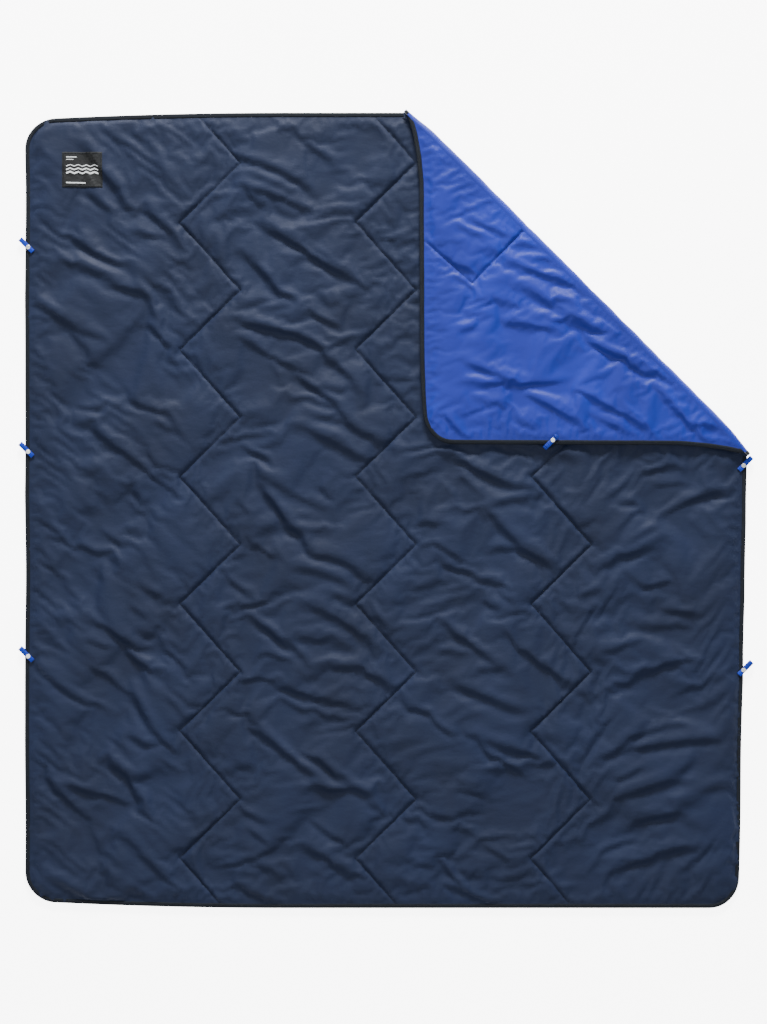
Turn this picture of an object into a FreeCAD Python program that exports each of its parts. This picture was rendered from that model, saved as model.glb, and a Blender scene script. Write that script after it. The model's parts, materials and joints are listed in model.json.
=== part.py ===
"""Quilted camp blanket, laid flat with one corner folded over, and its six snap loops.

Everything is first laid out flat: the blanket is centred on the origin, +Y towards the labelled
end, and its edge lies at mid loft. The corner is then turned over about the fold line. Lengths
are in millimetres.
"""

import FreeCAD, Part
import math
import os

V = FreeCAD.Vector

# Blanket
width = 1816.0
length = 2000.0
corner_radius = 76.0
loft = 15.0
fabric = 0.6

# Edge: the layers are flattened between the two fabrics and bound with a folded tape
binding_width = 14.0
binding_tape = 0.8
edge_taper = 40.0
binding_stitch_inset = 10.5

# Quilting: three zigzag seams that pinch the loft
seam_pitch = 442.0
seam_half_width = 76.0
seam_left_drop = 149.0
seam_right_drop = 171.0
seam_first_from_top = 126.0
seam_thickness = 3.0
seam_valley = 30.0
thread_width = 1.2
thread_height = 0.4

# Fold: distances from the corner along the two edges, and the strip that the crease rolls up
fold_along_top = 863.0
fold_along_side = 863.0
fold_take_up_x = 30.0
fold_take_up_y = 42.0
fold_gap = 1.0
fold_clearance = 0.4

# Label
label_width = 100.0
label_height = 88.0
label_thickness = 0.8
label_from_side = 96.0
label_from_top = 101.0
label_stitch_inset = 3.0

# Snap loops: a strap round the edge, sewn below and snapped above
loop_spacing = 514.0
left_loops_middle_y = 157.0
right_loops_middle_y = 122.0
strap_width = 12.0
strap_thickness = 1.0
strap_lean = 45.0
strap_reach = 17.0
strap_tail = 31.0
strap_base = 19.0
strap_eye = 5.2
strap_end_gap = 0.3
bar_tack_from_edge = 3.8
bar_tack_length = 2.4
bar_tack_margin = 1.0
stitch_clearance = 0.2

# Snap fastener
snap_from_edge = 13.0
snap_cap_radius = 5.6
snap_cap_height = 0.8
snap_cap_rounding = 0.55
snap_back_radius = 5.2
snap_post_radius = 1.1
snap_post_clearance = 0.1
snap_ring_radius = 5.0
snap_stud_radius = 2.4
snap_stud_clearance = 0.4
snap_stud_base = 0.6
snap_lift = 0.3
snap_plate = 0.3
snap_stud_top_gap = 0.3

half_loft = loft / 2
half_seam = seam_thickness / 2
bound_half = fabric + binding_tape
hinge_height = loft + fold_gap / 2
mid_plane = V(0, 0, half_loft)

corner = V(width / 2, length / 2, 0)
fold_top = V(corner.x - fold_along_top, corner.y, 0)
fold_side = V(corner.x, corner.y - fold_along_side, 0)
fold_direction = (fold_side - fold_top).normalize()
fold_outward = V(-fold_direction.y, fold_direction.x, 0)
hinge_point = V(fold_top.x, fold_top.y, hinge_height)


def rounded_rectangle(inset, shift=V(0, 0, 0), z=0.0):
    """The blanket's outline, inset by a distance, as a closed wire with four tangent arcs."""
    half_x = width / 2 - inset
    half_y = length / 2 - inset
    radius = max(corner_radius - inset, 1.0)
    edges = []
    last = None
    for turn, (sx, sy) in enumerate([(1, 1), (-1, 1), (-1, -1), (1, -1)]):
        centre = V(sx * (half_x - radius), sy * (half_y - radius), z) + shift
        points = []
        for step in range(3):
            angle = math.radians(90 * turn + 45 * step)
            points.append(centre + V(radius * math.cos(angle), radius * math.sin(angle), 0))
        if last is not None:
            edges.append(Part.makeLine(last, points[0]))
        else:
            first = points[0]
        edges.append(Part.Arc(*points).toShape())
        last = points[2]
    edges.append(Part.makeLine(last, first))
    return Part.Wire(edges)


def outline_prism(inset, low, high, shift):
    """A straight-sided slab on the blanket's outline."""
    return Part.Face(rounded_rectangle(inset, shift, low)).extrude(V(0, 0, high - low))


def outline_frustum(inset_low, low, inset_high, high, shift):
    """A slab on the blanket's outline whose sides lean in from one inset to another."""
    wires = [rounded_rectangle(inset_low, shift, low), rounded_rectangle(inset_high, shift, high)]
    return Part.makeLoft(wires, True, True)


def zigzag(centre_x, shift):
    """The corners of one seam, from beyond the top edge to beyond the bottom edge."""
    points = []
    y = length / 2 - seam_first_from_top + seam_right_drop
    side = -1
    while y > -length / 2 - seam_left_drop - seam_right_drop:
        points.append(V(centre_x + side * seam_half_width, y, 0) + shift)
        y -= seam_right_drop if side < 0 else seam_left_drop
        side = -side
    return points


def offset_corners(points, distance):
    """A zigzag moved sideways, with mitred corners."""
    moved = []
    for i, point in enumerate(points):
        before = (point - points[i - 1]).normalize() if i > 0 else None
        after = (points[i + 1] - point).normalize() if i + 1 < len(points) else None
        before = before or after
        after = after or before
        middle = (V(-before.y, before.x, 0) + V(-after.y, after.x, 0)).normalize()
        stretch = middle.dot(V(-after.y, after.x, 0))
        moved.append(point + middle * (distance / stretch))
    return moved


def seam_band(points, half, z):
    """The corners of a closed zigzag band about a seam."""
    left = offset_corners(points, half)
    right = offset_corners(points, -half)
    ring = [V(p.x, p.y, z) for p in left + right[::-1]]
    return ring + ring[:1]


def seam_valley_solid(points, low):
    """The space above a seam, from its thread up past the top of the loft."""
    slope = (seam_valley - thread_width) / (half_loft - half_seam)
    height = half_loft - half_seam + fabric
    rings = [seam_band(points, thread_width, low)]
    rings.append(seam_band(points, thread_width + slope * height, low + height))
    faces = [Part.Face(Part.makePolygon(ring)) for ring in rings]
    bottom, top = rings
    for i in range(len(bottom) - 1):
        side = [bottom[i], bottom[i + 1], top[i + 1], top[i], bottom[i]]
        faces.append(Part.Face(Part.makePolygon(side)))
    return Part.makeSolid(Part.makeShell(faces))


def seam_thread(points, shift):
    """Needle thread above and bobbin thread below, clear of the flattened edge."""
    inset = binding_width + edge_taper * (half_seam + thread_height) / half_loft
    threads = []
    for z in (half_seam, -half_seam - thread_height):
        band = Part.Face(Part.makePolygon(seam_band(points, thread_width / 2, z)))
        band = band.extrude(V(0, 0, thread_height))
        threads.append(band.common(outline_prism(inset, z, z + thread_height, shift)))
    return threads


def half_quilt(seams, shift):
    """The upper fabric and the upper half of the batting, about a mid plane at height 0."""
    top_inset = binding_width + edge_taper
    outer = outline_prism(0, 0, fabric, shift)
    outer = outer.fuse(outline_frustum(binding_width, fabric, top_inset, half_loft, shift))
    batting = outline_frustum(binding_width + 2 * fabric, 0, top_inset, half_loft - fabric, shift)
    for points in seams:
        outer = outer.cut(seam_valley_solid(points, half_seam))
        batting = batting.cut(seam_valley_solid(points, half_seam - fabric))
    return outer.cut(batting), batting


def below(shape):
    """The same shape under the mid plane."""
    return shape.mirror(V(0, 0, 0), V(0, 0, 1))


def binding_tape_solid(shift):
    """The tape folded round the edge: two legs and a nose."""
    tape = outline_prism(-binding_tape, -bound_half, bound_half, shift)
    tape = tape.cut(outline_prism(binding_width, -bound_half, bound_half, shift))
    return tape.cut(outline_prism(0, -fabric, fabric, shift))


def binding_stitch_solids(shift):
    """A row of stitching on each leg of the tape. It is cut later where a loop lies over it."""
    rows = []
    for z in (bound_half, -bound_half - thread_height):
        row = outline_prism(binding_stitch_inset, z, z + thread_height, shift)
        inner = binding_stitch_inset + thread_width
        rows.append(row.cut(outline_prism(inner, z, z + thread_height, shift)))
    return rows


def fold_side_block(sign):
    """Everything on one side of the fold line: sign -1 is the main panel, 1 the corner."""
    reach = 2 * (width + length)
    base = hinge_point - fold_direction * reach + fold_outward * sign * fold_clearance
    base.z = -loft
    steps = [V(0, 0, 0), fold_direction * 2 * reach]
    steps.append(fold_direction * 2 * reach + fold_outward * sign * reach)
    steps.append(fold_outward * sign * reach)
    ring = [base + step for step in steps]
    return Part.Face(Part.makePolygon(ring + ring[:1])).extrude(V(0, 0, 4 * loft))


class StrapFrame:
    """Places a strap's pieces: u runs out along the strap, v across it, w away from the edge."""

    def __init__(self, edge_point, side, face):
        lean = math.radians(strap_lean)
        self.origin = edge_point
        self.u = V(side * math.cos(lean), math.sin(lean), 0)
        self.w = V(0, 0, face)
        self.v = self.w.cross(self.u)

    def at(self, u, v, w):
        return self.origin + self.u * u + self.v * v + self.w * w

    def block(self, u0, u1, half_v, w0, w1):
        ring = [self.at(u0, -half_v, w0), self.at(u1, -half_v, w0)]
        ring += [self.at(u1, half_v, w0), self.at(u0, half_v, w0)]
        return Part.Face(Part.makePolygon(ring + ring[:1])).extrude(self.w * (w1 - w0))

    def disc(self, u, radius, w0, w1):
        return Part.makeCylinder(radius, w1 - w0, self.at(u, 0, w0), self.w)

    def rounded(self, disc, w):
        """A disc with the rim at height w rounded off."""
        heights = [(edge, (edge.CenterOfMass - self.origin).dot(self.w)) for edge in disc.Edges]
        rim = [edge for edge, height in heights if abs(height - w) < 1e-6]
        return disc.makeFillet(snap_cap_rounding, rim)

    def bend(self, u, w, inner, outer, half_v, tab):
        """Half a turn of webbing about an axis at (u, w), with short straight ends."""
        start = self.at(u, -half_v, w)
        ring = Part.makeCylinder(outer, 2 * half_v, start, self.v)
        ring = ring.cut(Part.makeCylinder(inner, 2 * half_v, start, self.v))
        ring = ring.common(self.block(u, u + 2 * outer, half_v, w - 2 * outer, w + 2 * outer))
        lower = self.block(u - strap_end_gap, u, half_v, w - outer, w - inner)
        upper = self.block(u - tab, u, half_v, w + inner, w + outer)
        return ring.fuse([lower, upper]).removeSplitter()


base_low = -bound_half - strap_thickness
leg_low = -bound_half + strap_eye
leg_high = leg_low + strap_thickness
bend_inner = strap_eye / 2
bend_outer = bend_inner + strap_thickness
bend_u = strap_reach - bend_outer
bend_w = -bound_half + bend_inner
snap_u = -snap_from_edge
post_hole = snap_post_radius + snap_post_clearance


def snap_loop(frame):
    """One loop and its snap, closed, its post hole, and where it lies over the edge stitching."""
    half = strap_width / 2
    pieces = {}
    hole = frame.disc(snap_u, post_hole, -half_loft, half_loft)
    leg_end = bend_u - strap_end_gap
    base = frame.block(-strap_base, leg_end, half, base_low, -bound_half)
    pieces["strap_base"] = base.cut(hole)
    tab = frame.block(-strap_tail, leg_end, half, leg_low, leg_high)
    pieces["strap_tab"] = tab.cut(hole)
    bend_tab = strap_end_gap * 2 / 3
    pieces["strap_bend"] = frame.bend(bend_u, bend_w, bend_inner, bend_outer, half, bend_tab)
    tack_half = half - bar_tack_margin
    tack_start = -bar_tack_from_edge - bar_tack_length / 2
    tack_end = tack_start + bar_tack_length
    tack_low = base_low - thread_height
    pieces["bar_tack"] = frame.block(tack_start, tack_end, tack_half, tack_low, base_low)

    cap = frame.disc(snap_u, snap_cap_radius, leg_high, leg_high + snap_cap_height)
    cap = frame.rounded(cap, leg_high + snap_cap_height)
    pieces["snap_cap"] = cap.fuse(frame.disc(snap_u, snap_post_radius, leg_low, leg_high))

    stud_base_top = bound_half + snap_stud_base
    ring_low = stud_base_top + snap_lift
    cavity_top = leg_low - snap_plate
    stud_top = cavity_top - snap_stud_top_gap
    socket = frame.disc(snap_u, snap_ring_radius, ring_low, leg_low)
    cavity_radius = snap_stud_radius + snap_stud_clearance
    pieces["snap_socket"] = socket.cut(frame.disc(snap_u, cavity_radius, ring_low, cavity_top))
    stud = frame.disc(snap_u, snap_ring_radius, bound_half, stud_base_top)
    pieces["snap_stud"] = stud.fuse(frame.disc(snap_u, snap_stud_radius, stud_base_top, stud_top))

    back = frame.disc(snap_u, snap_back_radius, base_low - snap_cap_height, base_low)
    back = frame.rounded(back, base_low - snap_cap_height)
    pieces["snap_back"] = back.fuse(frame.disc(snap_u, snap_post_radius, base_low, bound_half))

    gap = stitch_clearance
    over_stitching = [
        frame.block(-strap_base - gap, leg_end, half + gap, base_low, -bound_half),
        frame.disc(snap_u, snap_ring_radius + gap, bound_half, stud_base_top),
    ]
    return pieces, hole, over_stitching


def label_solids():
    """The label and the row of stitching round it, on top of the main panel."""
    low = V(-width / 2 + label_from_side, length / 2 - label_from_top - label_height, half_loft)
    patch = Part.makeBox(label_width, label_height, label_thickness, low)
    inset = V(label_stitch_inset, label_stitch_inset, label_thickness)
    size_x = label_width - 2 * label_stitch_inset
    size_y = label_height - 2 * label_stitch_inset
    row = Part.makeBox(size_x, size_y, thread_height, low + inset)
    inner = Part.makeBox(size_x - 2 * thread_width, size_y - 2 * thread_width, thread_height,
                         low + inset + V(thread_width, thread_width, 0))
    return patch, row.cut(inner)


def crease_solid(inner, outer):
    """One layer of the roll at the fold, along the stretch where the corner lies on the panel."""
    start = hinge_point + fold_direction * crease_start
    run = crease_end - crease_start
    roll = Part.makeCylinder(outer, run, start, fold_direction)
    roll = roll.cut(Part.makeCylinder(inner, run, start, fold_direction))
    base = start + fold_outward * fold_clearance
    ring = [base - V(0, 0, 2 * outer), base + fold_outward * 2 * outer - V(0, 0, 2 * outer)]
    ring += [base + fold_outward * 2 * outer + V(0, 0, 2 * outer), base + V(0, 0, 2 * outer)]
    block = Part.Face(Part.makePolygon(ring + ring[:1])).extrude(fold_direction * run)
    return roll.common(block)


def turned_over(shape):
    """A piece of the flat corner, turned over about the fold line."""
    shape = shape.copy()
    shape.rotate(hinge_point, fold_direction, 180)
    return shape


def solids_of(shapes):
    """Every solid in a list of shapes, as one compound, or alone."""
    found = [solid for shape in shapes for solid in shape.Solids]
    return found[0] if len(found) == 1 else Part.makeCompound(found)


nodes = {}

take_up = V(-fold_take_up_x, -fold_take_up_y, 0)
seam_centres = {"left": -seam_pitch, "middle": 0.0, "right": seam_pitch}
main_seams = {name: zigzag(x, V(0, 0, 0)) for name, x in seam_centres.items()}
corner_seam = zigzag(seam_pitch, take_up)

# The take-up moves the corner in, so its outline crosses the fold line inside the ends
crease_start = fold_take_up_y / abs(fold_direction.y)
crease_end = (fold_side - fold_top).Length - fold_take_up_x / abs(fold_direction.x)

loops = {}
for row, side, middle_y in (("left", -1, left_loops_middle_y), ("right", 1, right_loops_middle_y)):
    for place, step in (("top", 1), ("middle", 0), ("bottom", -1)):
        edge_point = V(side * width / 2, middle_y + step * loop_spacing, 0)
        on_corner = (edge_point - fold_top).dot(fold_outward) > 0
        if on_corner:
            edge_point.x -= fold_take_up_x
        face = -1 if on_corner else 1
        pieces, hole, over_stitching = snap_loop(StrapFrame(edge_point, side, face))
        loops[f"{row}_{place}"] = (on_corner, pieces, hole, over_stitching)

for on_corner, prefix in ((False, "main"), (True, "corner")):
    shift = take_up if on_corner else V(0, 0, 0)
    half_space = fold_side_block(1 if on_corner else -1)
    half_space.translate(-mid_plane)
    seams = {"right": corner_seam} if on_corner else main_seams
    here = [loop for loop in loops.values() if loop[0] == on_corner]
    holes = [hole for _, _, hole, _ in here]
    crossings = [shape for _, _, _, over_stitching in here for shape in over_stitching]
    fabric_top, batting_top = half_quilt(list(seams.values()), shift)
    batting = batting_top.fuse(below(batting_top)).removeSplitter()
    flat = {
        "shell": [fabric_top.cut(holes)],
        "batting": [batting],
        "lining": [below(fabric_top).cut(holes)],
        "binding": [binding_tape_solid(shift).cut(holes)],
        "binding_stitching": [row.cut(crossings) for row in binding_stitch_solids(shift)],
    }
    for name, points in seams.items():
        flat[f"seam_thread_{name}"] = seam_thread(points, shift)
    for piece, shapes in flat.items():
        kept = solids_of([shape.common(half_space) for shape in shapes])
        kept.translate(mid_plane)
        nodes[f"{prefix}_{piece}"] = turned_over(kept) if on_corner else kept

patch, patch_stitching = label_solids()
for piece, shape in (("label", patch), ("label_stitching", patch_stitching)):
    shape.translate(mid_plane)
    nodes[piece] = shape

skin_radius = hinge_height - fabric
inner_radius = fold_gap / 2
nodes["crease_lining"] = crease_solid(skin_radius, hinge_height)
nodes["crease_batting"] = crease_solid(inner_radius + fabric, skin_radius)
nodes["crease_shell"] = crease_solid(inner_radius, inner_radius + fabric)

shared = {"bar_tack": [], "snap_stud": [], "snap_back": []}
for name, (on_corner, pieces, _, _) in loops.items():
    for piece, shape in pieces.items():
        shape.translate(mid_plane)
        placed = turned_over(shape) if on_corner else shape
        if piece in shared and not on_corner:
            shared[piece].append(placed)
        else:
            nodes[f"{piece}_{name}"] = placed
for piece, shapes in shared.items():
    nodes[f"{piece}s_main"] = solids_of(shapes)

os.makedirs("parts", exist_ok=True)
for name, shape in nodes.items():
    box = shape.BoundBox
    print(f"{name:28s} valid {shape.isValid()} solids {len(shape.Solids):2d} "
          f"volume {shape.Volume / 1000:10.2f} cm3  z {box.ZMin:7.2f} {box.ZMax:7.2f}")
    shape.exportStep(f"parts/{name}.step")
print(len(nodes), "nodes, hinge", hinge_point, "direction", fold_direction)
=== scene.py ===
import json
import math
import random
from collections import namedtuple

import bpy
import numpy as np
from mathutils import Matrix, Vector, noise
from mathutils.geometry import delaunay_2d_cdt
from mathutils.kdtree import KDTree


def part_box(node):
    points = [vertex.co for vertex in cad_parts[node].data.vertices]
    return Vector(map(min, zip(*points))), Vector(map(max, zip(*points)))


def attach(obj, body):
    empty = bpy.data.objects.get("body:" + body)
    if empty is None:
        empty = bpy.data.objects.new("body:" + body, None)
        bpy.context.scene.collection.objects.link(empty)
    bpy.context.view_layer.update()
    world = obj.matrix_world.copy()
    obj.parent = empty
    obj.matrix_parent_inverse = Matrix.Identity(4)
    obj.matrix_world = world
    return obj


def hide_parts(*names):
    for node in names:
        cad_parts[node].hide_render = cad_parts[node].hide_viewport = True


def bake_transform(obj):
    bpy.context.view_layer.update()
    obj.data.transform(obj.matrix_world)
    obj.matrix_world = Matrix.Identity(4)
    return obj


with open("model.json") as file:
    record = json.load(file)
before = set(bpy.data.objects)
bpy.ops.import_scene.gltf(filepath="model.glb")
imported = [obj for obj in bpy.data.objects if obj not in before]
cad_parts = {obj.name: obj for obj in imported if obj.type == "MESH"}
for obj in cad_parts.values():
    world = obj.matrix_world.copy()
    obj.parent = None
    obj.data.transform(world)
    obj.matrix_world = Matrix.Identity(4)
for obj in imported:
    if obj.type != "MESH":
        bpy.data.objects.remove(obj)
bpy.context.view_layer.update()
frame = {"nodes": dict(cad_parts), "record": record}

MM = 0.001


# ======== sizes
# The frame gives the overall size, the fold and the place of every loop.
shell_low, shell_high = (Vector(c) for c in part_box("main_shell"))
JOINTS = {j["name"]: j for j in frame["record"]["behaviour"]["joints"]}
HALF_X = -shell_low.x
HALF_Y = shell_high.y
tape_low, tape_high = (Vector(c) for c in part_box("main_binding"))
MID = (tape_low.z + tape_high.z) / 2
HALF_LOFT = shell_high.z - MID
HINGE = Vector(JOINTS["corner_fold"]["pos_m"])
HINGE_XY = np.array((HINGE.x, HINGE.y))
ROOT_HALF = math.sqrt(0.5)
ALONG = np.array((ROOT_HALF, -ROOT_HALF))
OUTWARD = np.array((ROOT_HALF, ROOT_HALF))
FOLD_SUM = HINGE.x + HINGE.y
CORNER_MID = 2 * HINGE.z - MID
flap_low = Vector(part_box("corner_binding")[0])
flap_side = FOLD_SUM - flap_low.x - flap_low.y

# Quilting
CORNER_RADIUS = 76 * MM
SEAM_PITCH = 442 * MM
SEAM_CENTRES = {"left": -SEAM_PITCH, "middle": 0.0, "right": SEAM_PITCH}
SEAM_HALF_WIDTH = 76 * MM
SEAM_LEFT_DROP = 149 * MM
SEAM_RIGHT_DROP = 171 * MM
SEAM_PERIOD = SEAM_LEFT_DROP + SEAM_RIGHT_DROP
SEAM_FROM_TOP = 126 * MM
SEAM_HALF = 1.2 * MM
SEAM_STEP = 6 * MM
SEAM_SIDE = 2.8 * MM
SEAM_END_BACK = 6 * MM
SEAM_STITCH_UP = 0.1 * MM
STITCH_PITCH = 4.5 * MM
STITCH_LENGTH = 3.9 * MM
THREAD_WIDTH = 1.1 * MM
# A stitch's sections: place along it, rise and width, as shares of its length and thread
STITCH_BAR = ((-0.5, -0.35, 0.5), (-0.25, 0.25, 1.0), (0.25, 0.25, 1.0), (0.5, -0.35, 0.5))

# How the filled cloth rises from a seam and from the bound edge
PINCH = 3.6 * MM
PINCH_REACH = 2.6 * MM
SEAM_REACH = 46 * MM
EDGE_START = 10 * MM
EDGE_LOW = 0.9 * MM
EDGE_REACH = 24 * MM
VALLEY_ROUND = 0.4

# How far folds and tucks fade out from a seam, the tape and the crease
FREE_OF_SEAM = 8 * MM
FREE_OF_TAPE = 16 * MM
FREE_OF_CREASE = 18 * MM
TUCK_CLEAR = 5 * MM

# Meshes
TOP_SPACING = 7.8 * MM
UNDER_SPACING = 14 * MM

# Binding: its section is a half, as (share of the width, share of the thickness), and its mirror
TAPE_WIDTH = 11 * MM
TAPE_HALF = 1.7 * MM
TAPE_OUT = 1.4 * MM
TAPE_STEP = 6 * MM
TAPE_GAP = 0.4 * MM
TAPE_STITCH_INSET = 6.8 * MM
TAPE_STITCH_UP = 1.6 * MM
TAPE_STITCH_END = 8 * MM
TAPE_UPPER = [(1.0, 0.40), (1.0, 0.47), (0.75, 0.48), (0.4, 0.46), (0.12, 0.38), (0.0, 0.15)]
TAPE_SECTION = TAPE_UPPER + [(d, -h) for d, h in reversed(TAPE_UPPER)]
FABRIC_INSET = 3 * MM

# Filling
FILL_INSET = 9 * MM
FILL_SKIN = 1.5 * MM
FILL_GAP = 1.5 * MM
FILL_CELL = 12 * MM

# Crease
CREASE_STEP = 10 * MM
CREASE_BOW = 4 * MM
CREASE_RIPPLE = 1.6 * MM
INNER_RADIUS = 0.45 * MM
INNER_LAP = 5 * MM

# Straps: the bend and the lengths back are measured from where the strap crosses the edge
STRAP_HALF = 6 * MM
STRAP_THICK = 1.0 * MM
STRAP_EYE = 5.2 * MM
STRAP_UPPER = [(-1, -0.5), (-0.94, -1), (0, -1.06), (0.94, -1), (1, -0.5)]
STRAP_SECTION = STRAP_UPPER + [(-v, -t) for v, t in STRAP_UPPER]
BEND_U = 13.4 * MM
BASE_BACK = 19 * MM
TAB_BACK = 30 * MM
HEM_BACK = 22 * MM
SNAP_FROM_EDGE = 13 * MM
LOOP_TAIL = 24 * MM
LOOP_PRESS_HALF = 8 * MM
LOOP_PRESS_SLOPE = 0.45
LOOP_CLEAR = 3.0 * MM
LOOP_STITCH_GAP = 9 * MM
CORNER_LOOP = "right_top"

# Label: how high the patch, its stitches and its motif stand over the cloth
LABEL_LIFT = 0.7 * MM
LABEL_THICK = 0.5 * MM
LABEL_STITCH_INSET = 3 * MM
LABEL_STITCH_UP = 1.25 * MM
LABEL_STITCH_PITCH = 3.6 * MM
MOTIF_UP = 1.35 * MM
MOTIF_THICK = 0.25 * MM

# Cloth: frames, extra length, pressure, the most a point moves, how firmly open cloth is held
MAIN_RELAX = (16, 0.020, 0.12, 6 * MM, 0.05)
FLAP_RELAX = (16, 0.018, 0.12, 5 * MM, 0.05)
CLOTH_LEAST = 0.7 * MM
HELD_BY_SEAM = 5 * MM
HELD_BY_EDGE = 14 * MM
HELD_BY_LOOP = 26 * MM
CLOTH = {"quality": 4, "mass": 0.1, "air_damping": 3, "pin_stiffness": 0.6, "use_pressure": True,
         "tension_stiffness": 40, "compression_stiffness": 40, "shear_stiffness": 10,
         "bending_stiffness": 0.25}

# Light, as place, size and power, the floor and the camera
WORLD_LIGHT = 0.85
KEY_LIGHT = ((0.3, 7.5, 3.0), (3.0, 1.5), 2600)
FILL_LIGHT = ((-0.8, -0.8, 5.5), (4.0, 4.0), 200)
FLOOR_HALF = 6
FLOOR_GLOW = 6.0
CAMERA_LENS = 69.8
CAMERA_PLACE = (-0.006, -0.004, 5.0)

# Folds of the upper face: each seam corner has its own beside it, at a heading in degrees
FOLD_HEADINGS = {("left", "L"): 142, ("left", "R"): -26, ("middle", "R"): -20, ("right", "R"): 22}
FOLD_ROWS = 6
FOLDS_PER_CORNER = 10
FLAP_HEADING = -28
FLAP_FOLD_COUNT = 30
LONG_FOLD_SHARE = 0.45
# Ranges of a fold's length, height and width in mm, and of its bow as a share of its length
LONG_FOLD = ((180, 330), (3.8, 5.6), (11, 16))
SHORT_FOLD = ((60, 140), (2.0, 3.6), (8, 11))
FOLD_BOW = (-0.06, 0.09)
FOLD_REACH = 3.5
# All folds are raised by the gain, and no sum of folds goes beyond the limit
FOLD_GAIN = 1.05
FOLD_LIMIT = 5.5 * MM

# Outline of a laid blanket: how far it draws in and wanders from the flat cut, in mm
LEFT_DRAW = 18
LOW_RIGHT_DRAW = 20
WANDER = 4
FLAP_LOW_DRIFT = np.array((14.0, 2.0))
# Where the left side's draw starts, and how wide each drift is, in metres
LEFT_START = 0.25
WANDER_BAND = 0.25
CREASE_BAND = 0.12
FLAP_DRIFT_BAND = (0.15, 0.26)

# The turned seam's offset from the main pattern, before and after the turn
TAKE_UP = np.array((-30, -42)) * MM
FLAP_SEAM_CREEP = np.array((3, 13)) * MM

# The flap's free edge bends out to the ends of the crease, in mm from the box of the flat corner
FLAP_TOP_END = [(-34, -8), (-27, -26), (-18, -58), (-8, -115), (-2, -180)]
FLAP_SIDE_END = [(-180, -2), (-115, -7), (-58, -15), (-26, -22), (-8, -26)]


# ======== flat geometry
def smooth_route(points, steps=6):
    """A Catmull-Rom curve through a few points."""
    p = np.array(points, float)
    ends = np.vstack([2 * p[0] - p[1], p, 2 * p[-1] - p[-2]])
    out = []
    for a, b, c, d in zip(ends, ends[1:], ends[2:], ends[3:]):
        for t in np.arange(steps) / steps:
            cubic = 2 * a - 5 * b + 4 * c - d
            out.append(0.5 * (2 * b + (c - a) * t + cubic * t * t + (3 * b - a - 3 * c + d) * t ** 3))
    return np.array(out + [p[-1]])


def evenly(points, spacing):
    """Points along a polyline, evenly spaced, keeping its corners."""
    out = []
    for a, b in zip(points[:-1], points[1:]):
        count = max(1, round(float(np.linalg.norm(b - a)) / spacing))
        out += [a + (b - a) * k / count for k in range(count)]
    return np.array(out + [points[-1]])


def left_of(way):
    """Each direction turned a quarter to the left."""
    return np.column_stack([-way[:, 1], way[:, 0]])


def to_route(xy, route):
    """For each point: distance to a polyline, which side it is on, and how far along it is."""
    best = np.full(len(xy), 1e9)
    side = np.zeros(len(xy))
    along = np.zeros(len(xy))
    travelled = 0.0
    for a, b in zip(route[:-1], route[1:]):
        step = b - a
        length = float(np.hypot(*step))
        if length < 1e-9:
            continue
        t = np.clip(((xy - a) @ step) / length ** 2, 0, 1)
        gap = xy - (a + t[:, None] * step)
        dist = np.hypot(gap[:, 0], gap[:, 1])
        cross = step[1] * gap[:, 0] - step[0] * gap[:, 1]
        nearer = dist < best
        best = np.where(nearer, dist, best)
        side = np.where(nearer, np.sign(cross), side)
        along = np.where(nearer, travelled + t * length, along)
        travelled += length
    return best, side, along, travelled


def inside(xy, ring):
    x, y = xy[:, 0], xy[:, 1]
    hit = np.zeros(len(xy), bool)
    for (x1, y1), (x2, y2) in zip(ring, np.roll(ring, 1, axis=0)):
        if y1 != y2:
            hit ^= ((y1 > y) != (y2 > y)) & (x < (x2 - x1) * (y - y1) / (y2 - y1) + x1)
    return hit


def seam_corner(centre_x, side, row):
    """One corner of a zigzag seam, counted down from the top edge."""
    drop = SEAM_LEFT_DROP if side == "L" else 0.0
    sign = -1 if side == "L" else 1
    y = HALF_Y - SEAM_FROM_TOP - drop - row * SEAM_PERIOD
    return np.array((centre_x + sign * SEAM_HALF_WIDTH, y))


def zigzag(centre_x):
    """The corners of one seam, from beyond the top edge to beyond the bottom edge."""
    rows = range(-1, 8)
    return np.array([seam_corner(centre_x, side, row) for row in rows for side in ("R", "L")])


def clipped(route, ring):
    """The run of a polyline that lies inside an outline, ending on the outline."""
    fine = evenly(route, 1 * MM)
    keep = inside(fine, ring)
    first, last = np.flatnonzero(keep)[[0, -1]]
    corners = [p for p in route if inside(np.array([p]), ring)[0]]
    return np.array([fine[first]] + corners + [fine[last]])


def main_outline(inset=0.0):
    """The main panel: a rounded rectangle with the corner beyond the fold line missing."""
    x, y, r = HALF_X - inset, HALF_Y - inset, CORNER_RADIUS - inset
    ring = [(FOLD_SUM - y, y)]
    for cx, cy, start in ((-x + r, y - r, 90), (-x + r, r - y, 180), (x - r, r - y, 270)):
        angles = np.radians(start + 7.5 * np.arange(13))
        ring += [(cx + r * math.cos(a), cy + r * math.sin(a)) for a in angles]
    return np.array(ring + [(x, FOLD_SUM - x)])


def flap_outline(inset=0.0):
    """The turned corner, from the top end of the crease round to its side end."""
    left, low = flap_low.x + inset, flap_low.y + inset
    r = CORNER_RADIUS - inset
    ring = [(flap_low.x + dx * MM + inset, HALF_Y + dy * MM - inset) for dx, dy in FLAP_TOP_END]
    ring += [(left, low + r)]
    angles = np.radians(180 + 7.5 * np.arange(1, 13))
    ring += [(left + r + r * math.cos(a), low + r + r * math.sin(a)) for a in angles]
    ring += [(HALF_X + dx * MM - inset, flap_low.y + dy * MM + inset) for dx, dy in FLAP_SIDE_END]
    first, last = ring[0], ring[-1]
    ring[0] = (FOLD_SUM - first[1], first[1])
    ring[-1] = (last[0], FOLD_SUM - last[0])
    return np.array(ring)


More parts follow.
